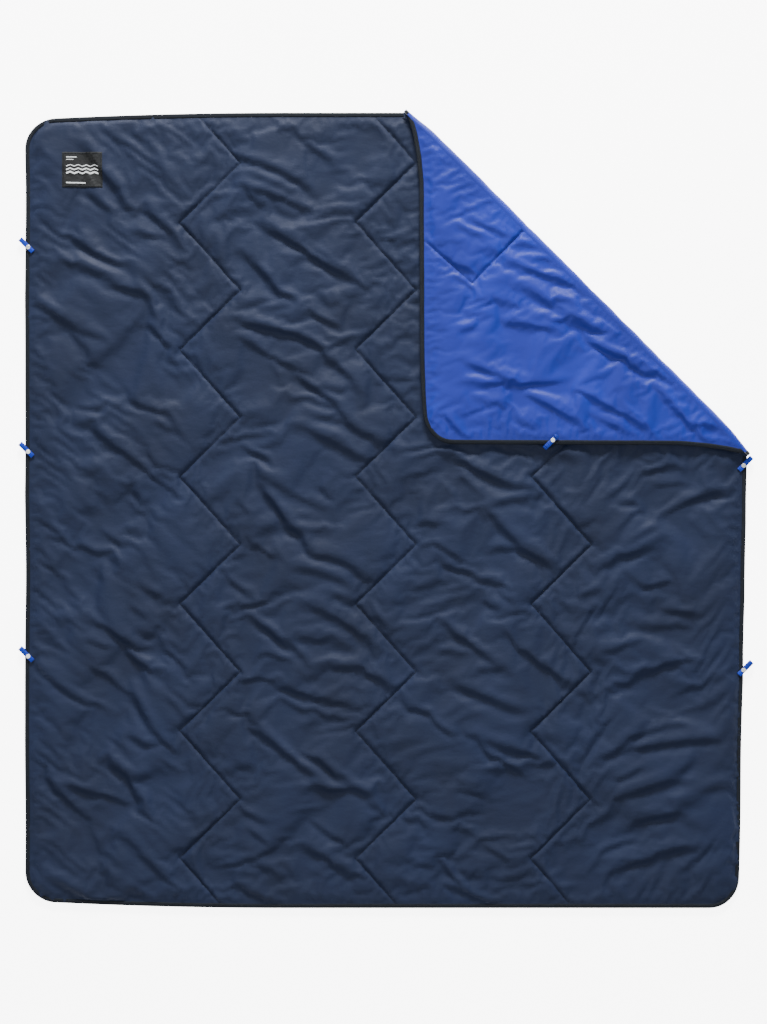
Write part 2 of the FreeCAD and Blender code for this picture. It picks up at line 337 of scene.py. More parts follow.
def turned(xy):
    """Places of the flat corner after it is turned over about the fold line."""
    return FOLD_SUM - np.array(xy)[..., ::-1]


def settle_main(xy):
    """How the laid main panel differs from its flat cut."""
    out = xy.copy()
    left = np.clip((-xy[:, 0] - LEFT_START) / (HALF_X - LEFT_START), 0, 1) ** 2
    out[:, 1] -= xy[:, 1] / HALF_Y * LEFT_DRAW * MM * left
    low = np.clip((0.1 - xy[:, 1]) / (HALF_Y + 0.1), 0, 1)
    out[:, 0] -= LOW_RIGHT_DRAW * MM * np.clip(xy[:, 0] / HALF_X, 0, 1) ** 2 * low
    wander = np.array([noise.noise((x * 3.1, y * 3.1, 4.2)) for x, y in xy])
    edge = np.clip((np.abs(xy[:, 0]) - HALF_X + WANDER_BAND) / WANDER_BAND, 0, 1)
    edge *= np.clip((FOLD_SUM - xy.sum(1)) / CREASE_BAND, 0, 1)
    out[:, 0] -= WANDER * MM * np.abs(wander) * edge * np.sign(xy[:, 0])
    return out


def settle_flap(xy):
    """How the turned corner's free edge drifts from its cut."""
    out = xy.copy()
    wide, high = FLAP_DRIFT_BAND
    low = np.clip((flap_low.y + high - xy[:, 1]) / high, 0, 1)
    low *= np.clip((flap_low.x + wide - xy[:, 0]) / wide, 0, 1)
    out += FLAP_LOW_DRIFT * MM * (low ** 2)[:, None]
    return out


# ======== heights
def one_fold(rng, x, y, heading):
    """A fold from (x, y), in mm: height, width, start, end, and how far its middle bows out."""
    angle = math.radians(heading)
    ranges = LONG_FOLD if rng.random() < LONG_FOLD_SHARE else SHORT_FOLD
    length, tall, wide = (rng.uniform(*limits) for limits in ranges)
    end = (x + length * math.cos(angle), y + length * math.sin(angle))
    return tall, wide, (x, y), end, rng.uniform(*FOLD_BOW) * length


def corner_folds(seam, side, row):
    """Folds that fan out over the channel beside one corner of a seam, spread evenly down it."""
    rng = random.Random(f"{seam} {side} {row}")
    pitch = SEAM_PERIOD / MM
    outward = 1 if side == "R" else -1
    folds = []
    for k in range(FOLDS_PER_CORNER):
        y = pitch * (0.3 - (k + rng.uniform(0.2, 0.8)) / FOLDS_PER_CORNER)
        x = outward * rng.uniform(-50, 200)
        fan = outward * 30 * (y / pitch + 0.2)
        folds.append(one_fold(rng, x, y, FOLD_HEADINGS[seam, side] + fan + rng.gauss(0, 8)))
    return folds


def flap_folds():
    """Folds over the turned corner, from the lowest corner of its box."""
    rng = random.Random("turned corner")
    span = flap_side / MM
    folds = []
    while len(folds) < FLAP_FOLD_COUNT:
        x, y = rng.uniform(20, span), rng.uniform(20, span)
        if x + y < span - 60:
            folds.append(one_fold(rng, x, y, FLAP_HEADING + rng.gauss(0, 14)))
    return folds


def fold_heights(xy, folds, corner):
    """The sum of some folds, placed from a corner. Each is a ridge with a trough beside it."""
    height = np.zeros(len(xy))
    for tall, wide, start, end, bow in folds:
        a, b = corner + np.array(start) * MM, corner + np.array(end) * MM
        step = b - a
        centre = (a + b) / 2
        middle = centre + np.array((-step[1], step[0])) / np.hypot(*step) * bow * MM
        fuller = (middle - centre) * 0.25
        route = smooth_route([a, (a + middle) / 2 + fuller, middle, (b + middle) / 2 + fuller, b], 4)
        if route[-1][0] < route[0][0]:
            route = route[::-1]
        reach = FOLD_REACH * wide * MM
        near = np.flatnonzero(np.all((xy > route.min(0) - reach) & (xy < route.max(0) + reach), 1))
        if not len(near):
            continue
        dist, side, along, total = to_route(xy[near], route)
        t = side * dist / (wide * MM)
        ends = np.clip(np.minimum(along, total - along) / (0.30 * total), 0, 1)
        ends = ends * ends * (3 - 2 * ends)
        wave = -t * np.exp(0.5 * (1 - t * t))
        wave = np.where(wave < 0, 0.8 * wave, wave)
        height[near] += FOLD_GAIN * tall * MM * wave * ends * np.exp(-(dist / reach) ** 2)
    return height


def grain_noise(xy, angle, long, short, seed):
    """Smooth noise that is stretched along a direction, between about -1 and 1."""
    c, s = math.cos(angle), math.sin(angle)
    u = (xy[:, 0] * c + xy[:, 1] * s) / long
    v = (-xy[:, 0] * s + xy[:, 1] * c) / short
    return np.array([noise.noise((a, b, seed)) for a, b in zip(u, v)])


def gathers(along, dist, step, reach, seed):
    """Small tucks that run in from a row of stitching."""
    wave = [noise.noise((a / step, d / reach * 0.7, seed)) for a, d in zip(along, dist)]
    return np.array(wave) * np.exp(-dist / reach)


def puff(d_seam, d_edge):
    """Height of the filled quilt above its mid plane, by distance to seam and bound edge."""
    seam = SEAM_HALF + PINCH * (1 - np.exp(-d_seam / PINCH_REACH))
    seam += (HALF_LOFT - SEAM_HALF - PINCH) * (1 - np.exp(-d_seam / SEAM_REACH))
    rise = np.clip(d_edge - EDGE_START, 0, None)
    edge = TAPE_HALF - EDGE_LOW + (HALF_LOFT - TAPE_HALF) * (1 - np.exp(-rise / EDGE_REACH))
    return np.minimum(seam, edge) - VALLEY_ROUND * MM * np.exp(-np.abs(seam - edge) / MM)


def nearest_seam(xy, routes):
    dist, along = np.full(len(xy), 1e9), np.zeros(len(xy))
    for i, route in enumerate(routes):
        d, _, a, _ = to_route(xy, route)
        along = np.where(d < dist, a + i * 5, along)
        dist = np.minimum(d, dist)
    return dist, along


def loop_places():
    """The place of each loop's snap, and which way the loop points."""
    places = {}
    for joint in JOINTS:
        if joint.startswith("loop_open_"):
            name = joint[len("loop_open_"):]
            low, high = (np.array(c[:2]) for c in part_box(f"snap_cap_{name}"))
            if name == CORNER_LOOP:
                point = (-ROOT_HALF, -ROOT_HALF)
            else:
                point = (ROOT_HALF if name.startswith("right") else -ROOT_HALF, ROOT_HALF)
            places[name] = ((low + high) / 2, np.array(point))
    return places

LOOPS = loop_places()


def press_loops(xy, height, names):
    """Keeps the cloth under the loops that lie on it."""
    for name in names:
        cap, point = LOOPS[name]
        gap = xy - cap
        u = gap @ point
        v = np.abs(gap @ np.array((-point[1], point[0])))
        over = np.hypot(np.clip(np.abs(u) - LOOP_TAIL, 0, None), np.clip(v - LOOP_PRESS_HALF, 0, None))
        height = np.minimum(height, LOOP_CLEAR + over * LOOP_PRESS_SLOPE)
    return height

MAIN_RIM = main_outline()
MAIN_RING = main_outline(FABRIC_INSET)
MAIN_SEAMS = {n: clipped(zigzag(x), MAIN_RING) for n, x in SEAM_CENTRES.items()}
FLAP_RIM = flap_outline()
FLAP_SEAM = clipped(turned(zigzag(SEAM_PITCH) + TAKE_UP) + FLAP_SEAM_CREEP, flap_outline(FABRIC_INSET))
MAIN_LOOPS = [n for n in LOOPS if n != CORNER_LOOP]


def face_plan(xy, rim, seams):
    """Distance to edge and seam, place along each, and how free folds and tucks are there."""
    d_edge, _, edge_along, _ = to_route(xy, rim)
    d_seam, along = nearest_seam(xy, seams)
    d_fold = (FOLD_SUM - xy.sum(1)) * ROOT_HALF
    past_tape = np.clip(d_edge - TAPE_WIDTH, 0, None)
    free = (1 - np.exp(-d_seam / FREE_OF_SEAM)) * (1 - np.exp(-past_tape / FREE_OF_TAPE))
    free *= np.clip(d_fold / FREE_OF_CREASE, 0, 1)
    clear = (1 - np.exp(-d_seam / TUCK_CLEAR)) * (1 - np.exp(-past_tape / TUCK_CLEAR))
    return d_edge, d_seam, edge_along, along, free, clear


def crinkle(xy):
    """Small creases of the main panel. Their heading changes from left to right."""
    rough = np.zeros(len(xy))
    left = np.clip((-xy[:, 0] - 0.40) / 0.15, 0, 1)
    right = np.clip((xy[:, 0] - 0.40) / 0.15, 0, 1)
    bands = ((left, -0.95, 3.1), (1 - left - right, -0.12, 7.7), (right, 0.65, 12.3))
    for weight, angle, seed in bands:
        coarse = grain_noise(xy, angle, 0.17, 0.036, seed)
        fine = grain_noise(xy, angle + 0.3, 0.07, 0.017, seed + 1)
        rough += weight * (1.5 * coarse + 0.7 * fine)
    return rough


def main_height(xy, up):
    """Heights of one face of the main panel, from its mid plane."""
    d_edge, d_seam, edge_along, along, free, clear = face_plan(xy, MAIN_RIM, MAIN_SEAMS.values())
    height = puff(d_seam, d_edge)
    if not up:
        height += free * 1.2 * MM * grain_noise(xy, 0.4, 0.11, 0.06, 21.0)
        return np.minimum(height, MID - 0.2 * MM)
    shape = 1.6 * MM * crinkle(xy)
    for seam, side in FOLD_HEADINGS:
        for row in range(FOLD_ROWS):
            corner = seam_corner(SEAM_CENTRES[seam], side, row)
            shape += fold_heights(xy, corner_folds(seam, side, row), corner)
    shape = FOLD_LIMIT * np.tanh(shape / FOLD_LIMIT)
    under_flap = inside(xy, FLAP_RIM)
    height += free * np.where(under_flap, -0.7 * np.abs(shape), shape)
    height += 1.3 * MM * gathers(along, d_seam, 9 * MM, 18 * MM, 2.0) * clear
    height += 1.2 * MM * gathers(edge_along, d_edge, 11 * MM, 26 * MM, 5.0) * clear
    height = np.where(under_flap, np.minimum(height, HALF_LOFT), height)
    return press_loops(xy, height, MAIN_LOOPS)


def flap_height(xy, lining):
    """Heights of one face of the turned corner, from its mid plane."""
    d_edge, d_seam, edge_along, along, free, clear = face_plan(xy, FLAP_RIM, [FLAP_SEAM])
    height = puff(d_seam, d_edge)
    if not lining:
        rough = grain_noise(xy, 0.9, 0.16, 0.036, 41.0) + 0.4 * grain_noise(xy, 0.6, 0.07, 0.018, 42.0)
        return np.minimum(height, HALF_LOFT) - free * 1.8 * MM * np.abs(rough)
    rough = grain_noise(xy, -0.2, 0.15, 0.035, 31.0) + 0.4 * grain_noise(xy, 0.3, 0.06, 0.016, 32.0)
    shape = fold_heights(xy, flap_folds(), np.array(flap_low[:2])) + 2.0 * MM * rough
    height += free * FOLD_LIMIT * np.tanh(shape / FOLD_LIMIT)
    height += 1.1 * MM * gathers(along, d_seam, 9 * MM, 16 * MM, 12.0) * clear
    left_edge = np.clip((0.22 - (xy[:, 0] - flap_low.x)) / 0.1, 0, 1)
    left_edge *= np.clip((xy[:, 1] - 0.35) / 0.1, 0, 1)
    edge_tucks = gathers(edge_along, d_edge, 12 * MM, 34 * MM, 15.0) * clear
    height += (1.0 + 1.8 * left_edge) * MM * edge_tucks
    return press_loops(xy, height, [CORNER_LOOP])

# What differs between the main panel and the turned corner
Panel = namedtuple("Panel", "outline seams settle mid height loops relax")
MAIN = Panel(main_outline, list(MAIN_SEAMS.values()), settle_main, MID, main_height, MAIN_LOOPS, MAIN_RELAX)
CORNER = Panel(flap_outline, [FLAP_SEAM], settle_flap, CORNER_MID, flap_height, [CORNER_LOOP], FLAP_RELAX)


# ======== meshes
def triangulate(ring, routes, spacing, seed):
    """A loose even triangle mesh inside an outline, with edges along the routes."""
    rng = np.random.default_rng(seed)
    low, high = ring.min(0), ring.max(0)
    grid = []
    for k, y in enumerate(np.arange(low[1], high[1], spacing * 0.866)):
        xs = np.arange(low[0], high[0], spacing) + (spacing / 2 if k % 2 else 0)
        grid.append(np.stack([xs, np.full(len(xs), y)], 1))
    grid = np.vstack(grid)
    grid += rng.uniform(-0.12, 0.12, grid.shape) * spacing
    grid = grid[inside(grid, ring)]
    fixed = [Vector(p) for p in ring]
    edges = [(i, (i + 1) % len(ring)) for i in range(len(ring))]
    for route in routes:
        start = len(fixed)
        fixed += [Vector(p) for p in route]
        edges += [(start + i, start + i + 1) for i in range(len(route) - 1)]
    tree = KDTree(len(fixed))
    for i, p in enumerate(fixed):
        tree.insert((p.x, p.y, 0), i)
    tree.balance()
    free = [Vector(p) for p in grid if tree.find((p[0], p[1], 0))[2] > 0.6 * spacing]
    verts, _, faces, _, _, _ = delaunay_2d_cdt(fixed + free, edges, [list(range(len(ring)))], 1, 1e-6)
    return np.array([(v.x, v.y) for v in verts]), [tuple(f) for f in faces]


def new_mesh(name, verts, faces, smooth=True):
    mesh = bpy.data.meshes.new(name)
    mesh.from_pydata([tuple(v) for v in verts], [], faces)
    mesh.validate()
    mesh.update()
    if smooth:
        mesh.polygons.foreach_set("use_smooth", [True] * len(mesh.polygons))
    obj = bpy.data.objects.new(name, mesh)
    bpy.context.scene.collection.objects.link(obj)
    return obj


def places_of(mesh):
    """The places of a mesh's vertices."""
    flat = np.zeros(len(mesh.vertices) * 3)
    mesh.vertices.foreach_get("co", flat)
    return flat.reshape(-1, 3)


def beside(route, distance):
    """A polyline moved sideways, with its corners mitred and its ends drawn back a little."""
    way = np.diff(route, axis=0)
    way /= np.linalg.norm(way, axis=1, keepdims=True)
    out = left_of(way)
    points = [route[0] + out[0] * distance + way[0] * SEAM_END_BACK]
    for k in range(1, len(route) - 1):
        both = out[k - 1] + out[k]
        points.append(route[k] + both * distance / (1 + out[k - 1] @ out[k]))
    return np.array(points + [route[-1] + out[-1] * distance - way[-1] * SEAM_END_BACK])


def quilt_mesh(ring, seams, spacing, seed, fine=False):
    ring = evenly(np.vstack([ring, ring[:1]]), spacing)[:-1]
    routes = [evenly(s, min(spacing, SEAM_STEP)) for s in seams]
    if fine:
        routes += [evenly(beside(s, d), SEAM_STEP) for s in seams for d in (-SEAM_SIDE, SEAM_SIDE)]
    return triangulate(ring, routes, spacing, seed)


def oriented(xy, faces, up):
    """Triangles turned so that they all face up, or all face down."""
    out = []
    for f in faces:
        a, b, c = xy[f[0]], xy[f[1]], xy[f[2]]
        area = (b[0] - a[0]) * (c[1] - a[1]) - (b[1] - a[1]) * (c[0] - a[0])
        out.append(f if (area > 0) == up else f[::-1])
    return out


def cloth_face(name, panel, up, spacing, seed):
    """One face of a panel as a sheet."""
    xy, faces = quilt_mesh(panel.outline(FABRIC_INSET), panel.seams, spacing, seed, up)
    z = panel.mid + (1 if up else -1) * panel.height(xy, up)
    return new_mesh(name, np.column_stack([panel.settle(xy), z]), oriented(xy, faces, up))


# ======== cloth
def floor_under(piece, xy, cell, up):
    """The lowest place of a face within a cell or two of each point, or the highest if it faces down."""
    co = places_of(piece.data)
    sign = 1 if up else -1
    low = np.minimum(co[:, :2].min(0), xy.min(0)) - 3 * cell
    shape = tuple(np.ceil((np.maximum(co[:, :2].max(0), xy.max(0)) - low) / cell).astype(int) + 4)
    grid = np.full(shape, 1e9)
    where = ((co[:, :2] - low) / cell).astype(int)
    np.minimum.at(grid, (where[:, 0], where[:, 1]), sign * co[:, 2])
    spread = grid.copy()
    for dx in (-1, 0, 1):
        for dy in (-1, 0, 1):
            spread = np.minimum(spread, np.roll(grid, (dx, dy), (0, 1)))
    at = ((xy - low) / cell).astype(int)
    return sign * spread[at[:, 0], at[:, 1]]


def short_of_fold(xy, gap):
    """Draws points back until they stop a gap short of the fold line."""
    over = np.clip((xy.sum(1) - FOLD_SUM) * ROOT_HALF + gap, 0, None)
    return xy - (over * ROOT_HALF)[:, None]


def filling(name, panel, upper, lower, seed):
    """The batting: a closed pad a little inside both faces."""
    ring = panel.outline(FILL_INSET)
    seams = [clipped(s, ring) for s in panel.seams]
    xy, faces = quilt_mesh(ring, seams, UNDER_SPACING, seed)
    faces = oriented(xy, faces, True)
    count = len(xy)
    placed = short_of_fold(panel.settle(xy), FILL_GAP)
    top = floor_under(upper, placed, FILL_CELL, True) - FILL_SKIN
    low = floor_under(lower, placed, 2 * FILL_CELL, False) + FILL_SKIN
    middle = (top + low) / 2
    top, low = np.maximum(top, middle + 0.1 * MM), np.minimum(low, middle - 0.1 * MM)
    verts = np.vstack([np.column_stack([placed, top]), np.column_stack([placed, low])])
    edges = {(a, b) for f in faces for a, b in zip(f, f[1:] + f[:1])}
    wall = [(b, a, a + count, b + count) for a, b in sorted(edges) if (b, a) not in edges]
    under = [tuple(i + count for i in f[::-1]) for f in faces]
    return new_mesh(name, verts, faces + under + wall)


def relax(piece, held, frames, excess, pressure, cap, least):
    """Lets the cloth find its own folds, no lower than least. held is how firmly each point is kept."""
    before = places_of(piece.data)
    group = piece.vertex_groups.new(name="held")
    steps = np.round(held * 20).astype(int)
    for step in np.unique(steps):
        if step:
            group.add([int(i) for i in np.flatnonzero(steps == step)], step / 20, "REPLACE")
    modifier = piece.modifiers.new("cloth", "CLOTH")
    s = modifier.settings
    for key, value in CLOTH.items():
        setattr(s, key, value)
    s.vertex_group_mass = "held"
    s.uniform_pressure_force = pressure
    s.shrink_min = -excess
    s.effector_weights.gravity = 0
    modifier.collision_settings.use_collision = False
    modifier.collision_settings.use_self_collision = False
    modifier.point_cache.frame_end = frames
    scene = bpy.context.scene
    for step in range(1, frames + 1):
        scene.frame_set(step)
    evaluated = piece.evaluated_get(bpy.context.evaluated_depsgraph_get())
    moved = np.nan_to_num(places_of(evaluated.data) - before)
    piece.modifiers.remove(modifier)
    piece.vertex_groups.remove(group)
    scene.frame_set(1)
    limit = np.array((cap * 0.6, cap * 0.6, cap))
    moved = limit * np.tanh(moved / limit)
    placed = before + moved
    placed[:, 2] = np.maximum(placed[:, 2], least)
    piece.data.vertices.foreach_set("co", placed.ravel())
    piece.data.update()


# ======== strips
def loft(name, rings, closed, uv):
    """Quads between equal rings of points. A closed one is a bar with end caps, an open one a strip."""
    rings = np.array(rings)
    count, size = rings.shape[:2]
    faces = []
    for i in range(count - 1):
        a, b = i * size, (i + 1) * size
        steps = range(size if closed else size - 1)
        faces += [(a + k, a + (k + 1) % size, b + (k + 1) % size, b + k) for k in steps]
    if closed:
        faces.append(tuple(range(size))[::-1])
        faces.append(tuple(range((count - 1) * size, count * size)))
    piece = new_mesh(name, rings.reshape(-1, 3), faces)
    layer = piece.data.uv_layers.new(name="UVMap")
    uv = np.array(uv).reshape(-1, 2)
    for loop in piece.data.loops:
        layer.data[loop.index].uv = uv[loop.vertex_index]
    return piece


def directions(route):
    step = np.gradient(np.array(route), axis=0)
    return step / np.linalg.norm(step, axis=1, keepdims=True)


def edge_tape(name, panel, seed):
    """The binding: a folded tape round the bound edge."""
    route = evenly(panel.outline(), TAPE_STEP)
    normal = left_of(directions(route))
    profile = [(d * TAPE_WIDTH, h * 2 * TAPE_HALF) for d, h in TAPE_SECTION]
    rings, uv = [], []
    for i, (p, n) in enumerate(zip(route, normal)):
        wobble = 0.5 * MM * noise.noise((p[0] * 40, p[1] * 40, seed))
        swell = 1 + 0.12 * noise.noise((p[0] * 25, p[1] * 25, seed + 5))
        at = [p + n * (d + wobble * d / TAPE_WIDTH) for d, h in profile]
        places = short_of_fold(panel.settle(np.array(at)), TAPE_GAP)
        rings.append([(x, y, panel.mid + h * swell) for (x, y), (d, h) in zip(places, profile)])
        uv.append([(i * TAPE_STEP, k * 2 * MM) for k in range(len(profile))])
    return loft(name, rings, False, uv)


def stitch_row(name, route, settle, height_at, mid, faces, pitch=STITCH_PITCH, skip=()):
    """A row of separate stitches, each a short rounded bar that dips at both ends."""
    total = sum(np.hypot(*(b - a)) for a, b in zip(route[:-1], route[1:]))
    fine = evenly(route, 1 * MM)
    gone = np.concatenate([[0], np.cumsum(np.hypot(*np.diff(fine, axis=0).T))])
    centres = np.arange(pitch / 2, total - pitch / 2, pitch)
    xy = np.column_stack([np.interp(centres, gone, fine[:, k]) for k in (0, 1)])
    ahead = np.column_stack([np.interp(centres + 0.4 * pitch, gone, fine[:, k]) for k in (0, 1)])
    way = ahead - xy
    way /= np.linalg.norm(way, axis=1, keepdims=True)
    across = left_of(way)
    verts, polys = [], []
    for face in faces:
        lift = height_at(xy, face)
        for p, w, a, h in zip(xy, way, across, lift):
            if any(np.hypot(*(p - q)) < r for q, r in skip):
                continue
            base = len(verts)
            for t, rise, width in STITCH_BAR:
                along = p + w * t * STITCH_LENGTH
                for side in (-0.5, 0.5):
                    q = along + a * side * width * THREAD_WIDTH
                    verts.append((q[0], q[1], mid + face * (h + rise * THREAD_WIDTH)))
                verts.append((*along, mid + face * (h + (rise + 0.4) * THREAD_WIDTH)))
            for k in range(3):
                b, c = base + 3 * k, base + 3 * k + 3
                quads = [(b, b + 2, c + 2, c), (b + 2, b + 1, c + 1, c + 2), (b + 1, b, c, c + 1)]
                polys += quads if face < 0 else [q[::-1] for q in quads]
            polys += [(base, base + 1, base + 2), (base + 9, base + 11, base + 10)]
    verts = np.array(verts)
    verts[:, :2] = settle(verts[:, :2])
    return new_mesh(name, verts, polys)


# ======== materials
class Look:
    """A material and the few nodes that most of them share."""

    def __init__(self, name, rough, **sockets):
        self.material = bpy.data.materials.new(name)
        self.material.use_nodes = True
        self.tree = self.material.node_tree
        self.shader = self.tree.nodes["Principled BSDF"]
        self.shader.inputs["Roughness"].default_value = rough
        for key, value in sockets.items():
            self.shader.inputs[key.replace("_", " ")].default_value = value
        self.coords = self.tree.nodes.new("ShaderNodeTexCoord")
        self.height = None

    def node(self, kind, **values):
        made = self.tree.nodes.new(kind)
        for key, value in values.items():
            if key in made.inputs:
                made.inputs[key].default_value = value
            else:
                setattr(made, key, value)
        return made

    def link(self, a, b):
        self.tree.links.new(a, b)

    def where(self, space, scale, turn=0.0):
        mapping = self.node("ShaderNodeMapping")
        mapping.inputs["Scale"].default_value = scale
        mapping.inputs["Rotation"].default_value = (0, 0, turn)
        self.link(self.coords.outputs[space], mapping.inputs["Vector"])
        return mapping.outputs["Vector"]

    def noise(self, scale, detail=3.0, space="Object", stretch=(1, 1, 1), turn=0.0):
        made = self.node("ShaderNodeTexNoise", Scale=scale, Detail=detail)
        self.link(self.where(space, stretch, turn), made.inputs["Vector"])
        return made.outputs["Fac"]

    def bands(self, pitch, direction, space="Object", distortion=0.0, turn=0.0):
        made = self.node("ShaderNodeTexWave", Scale=0.314 / pitch, Distortion=distortion)
        made.wave_type = "BANDS"
        made.bands_direction = direction
        self.link(self.where(space, (1, 1, 1), turn), made.inputs["Vector"])
        return made.outputs["Fac"]

    def colours(self, factor, *stops):
        ramp = self.node("ShaderNodeValToRGB")
        elements = ramp.color_ramp.elements
        while len(elements) < len(stops):
            elements.new(0.5)
        for element, (place, colour) in zip(elements, stops):
            element.position = place
            element.color = (*colour, 1)
        self.link(factor, ramp.inputs["Fac"])
        return ramp.outputs["Color"]

    def multiply(self, a, b, amount):
        mix = self.node("ShaderNodeMix", data_type="RGBA")
        mix.blend_type = "MULTIPLY"
        mix.inputs[0].default_value = amount
        self.link(a, mix.inputs[6])
        self.link(b, mix.inputs[7])
        return mix.outputs[2]

    def base(self, colour):
        self.link(colour, self.shader.inputs["Base Color"])

    def roughness(self, factor, low, high):
        spread = self.node("ShaderNodeMapRange")
        spread.inputs["To Min"].default_value = low
        spread.inputs["To Max"].default_value = high
        self.link(factor, spread.inputs["Value"])
        self.link(spread.outputs["Result"], self.shader.inputs["Roughness"])

    def bump(self, factor, distance, strength=1.0):
        made = self.node("ShaderNodeBump", Strength=strength, Distance=distance)
        self.link(factor, made.inputs["Height"])
        if self.height is not None:
            self.link(self.height, made.inputs["Normal"])
        self.height = made.outputs["Normal"]
        self.link(self.height, self.shader.inputs["Normal"])


def scaled(colour, factor):
    return tuple(c * factor for c in colour)


def woven_fabric(name, colour, rough, sheen, crinkle):
    """Fine plain-weave polyester, with soft crinkles and uneven dye."""
    look = Look(name, rough, Sheen_Weight=sheen, Sheen_Roughness=0.4, Specular_IOR_Level=0.18)
    cloud = look.noise(4.5, 4.0)
    tone = look.colours(cloud, (0.30, scaled(colour, 0.82)), (0.70, scaled(colour, 1.16)))
    slub = look.noise(160.0, 2.0, stretch=(1, 9, 1))
    threads = look.colours(slub, (0.35, (0.86, 0.86, 0.86)), (0.65, (1, 1, 1)))
    look.base(look.multiply(tone, threads, 0.6))
    look.roughness(look.noise(30.0, 3.0), rough - 0.07, rough + 0.08)
    look.bump(look.noise(26.0, 4.0, stretch=(1, 1.8, 1), turn=0.5), crinkle, 0.55)
    look.bump(look.bands(0.9 * MM, "X"), 0.05 * MM, 0.5)
    look.bump(look.bands(0.9 * MM, "Y"), 0.05 * MM, 0.5)
    return look.material


def grosgrain(name, colour, rough, pitch, space):
    """Ribbed tape or webbing: ribs across, a softer grain along, and painted shade that darkens the colour
    between the ribs.
    """
    look = Look(name, rough, Sheen_Weight=0.02, Specular_IOR_Level=0.15)
    ribs = look.bands(pitch, "X", space, 0.3)
    grain = look.bands(pitch * 0.7, "Y", space, 0.3)
    tone = look.colours(look.noise(30.0, 3.0), (0.3, scaled(colour, 0.75)), (0.7, scaled(colour, 1.25)))
    # Painted shade: the rib bands that raise the bump also darken the colour to 0.7 where the ribs sink.
    painted_rib_shade = look.colours(ribs, (0.1, (0.7, 0.7, 0.7)), (0.7, (1, 1, 1)))
    look.base(look.multiply(tone, painted_rib_shade, 0.8))
    look.roughness(look.noise(55.0), rough - 0.08, rough + 0.08)
    look.bump(ribs, 0.25 * MM, 0.8)
    look.bump(grain, 0.12 * MM, 0.6)
    return look.material


def twisted_thread(name, colour, rough):
    look = Look(name, rough, Specular_IOR_Level=0.2)
    twist = look.bands(0.5 * MM, "X", "Object", 0.6, turn=0.8)
    # Painted light and shade: the twist bands that raise the thread also darken its colour in the grooves
    # and lighten it on the crests.
    tone = look.colours(twist, (0.2, scaled(colour, 0.7)), (0.8, scaled(colour, 1.2)))
    look.base(tone)
    look.roughness(look.noise(80.0), rough - 0.08, rough + 0.1)
    look.bump(twist, 0.15 * MM, 0.8)
    return look.material


def fibre_fill(name):
    look = Look(name, 0.95, Sheen_Weight=0.3)
    fluff = look.noise(90.0, 6.0)
    # Painted shade: the fluff noise that raises the batting also greys its colour where the fibres sink.
    look.base(look.colours(fluff, (0.3, (0.62, 0.62, 0.60)), (0.7, (0.86, 0.86, 0.84))))
    look.roughness(look.noise(20.0), 0.88, 1.0)
    look.bump(fluff, 1.2 * MM, 0.8)
    return look.material


def snap_metal(name):
    """Grey plated brass: fine brush marks and a few rubbed spots."""
    look = Look(name, 0.3, Metallic=0.9)
    marks = look.noise(900.0, 2.0, stretch=(1, 8, 1))
    look.base(look.colours(look.noise(120.0), (0.35, (0.42, 0.44, 0.43)), (0.7, (0.62, 0.64, 0.62))))
    look.roughness(look.noise(300.0), 0.22, 0.45)
    look.bump(marks, 0.03 * MM, 0.6)
    return look.material

SHELL = woven_fabric("shell_fabric", (0.0028, 0.0071, 0.0240), 0.66, 0.02, 2.2 * MM)
LINING = woven_fabric("lining_fabric", (0.0045, 0.0128, 0.170), 0.52, 0.03, 1.2 * MM)
TAPE = grosgrain("binding_tape", (0.0016, 0.0034, 0.0068), 0.75, 1.6 * MM, "UV")
WEBBING = grosgrain("strap_webbing", (0.0025, 0.016, 0.22), 0.5, 1.3 * MM, "UV")
BATTING = fibre_fill("batting_fibre")
SHELL_THREAD = twisted_thread("shell_thread", (0.0020, 0.0032, 0.0068), 0.7)
LINING_THREAD = twisted_thread("lining_thread", (0.0020, 0.0048, 0.032), 0.6)
TAPE_THREAD = twisted_thread("binding_thread", (0.004, 0.006, 0.010), 0.6)
PALE_THREAD = twisted_thread("pale_thread", (0.52, 0.54, 0.55), 0.55)
STRAP_THREAD = twisted_thread("strap_thread", (0.0035, 0.020, 0.22), 0.55)
METAL = snap_metal("snap_metal")
LABEL = grosgrain("label_fabric", (0.0100, 0.0108, 0.0116), 0.66, 1.0 * MM, "Object")


def finish_piece(piece, look, slot, body, *nodes):
    piece.data.materials.append(look)
    if nodes:
        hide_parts(*nodes)
    if body:
        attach(piece, body)
    return piece


# ======== quilt
top_spacing = TOP_SPACING


def relax_face(piece, panel):
    """Seams, bound edge, the crease and what lies under the flap or a loop keep their places."""
    xy = places_of(piece.data)[:, :2]
    d_edge = to_route(xy, panel.outline())[0]
    d_seam = nearest_seam(xy, panel.seams)[0]
    d_fold = np.abs(FOLD_SUM - xy.sum(1)) * ROOT_HALF
    past_tape = np.clip(d_edge - TAPE_WIDTH - 2 * MM, 0, None)
    spans = [(d_seam, HELD_BY_SEAM), (past_tape, HELD_BY_EDGE), (d_fold, HELD_BY_EDGE)]
    spans += [(np.hypot(*(xy - LOOPS[name][0]).T), HELD_BY_LOOP) for name in panel.loops]
    firm = np.max([np.exp(-(dist / reach) ** 2) for dist, reach in spans], axis=0)
    if panel is MAIN:
        firm = np.maximum(firm, inside(xy, FLAP_RIM))
    frames, excess, pressure, cap, soft = panel.relax
    relax(piece, np.maximum(firm, soft), frames, excess, pressure, cap, panel.mid + CLOTH_LEAST)


def quilt(panel, names, upper_spacing, lower_spacing, seed):
    """The upper face, the lower face and the filling of a panel."""
    upper = cloth_face(names[0], panel, True, upper_spacing, seed)
    relax_face(upper, panel)
    lower = cloth_face(names[1], panel, False, lower_spacing, seed + 1)
    return upper, lower, filling(names[2], panel, upper, lower, seed + 2)


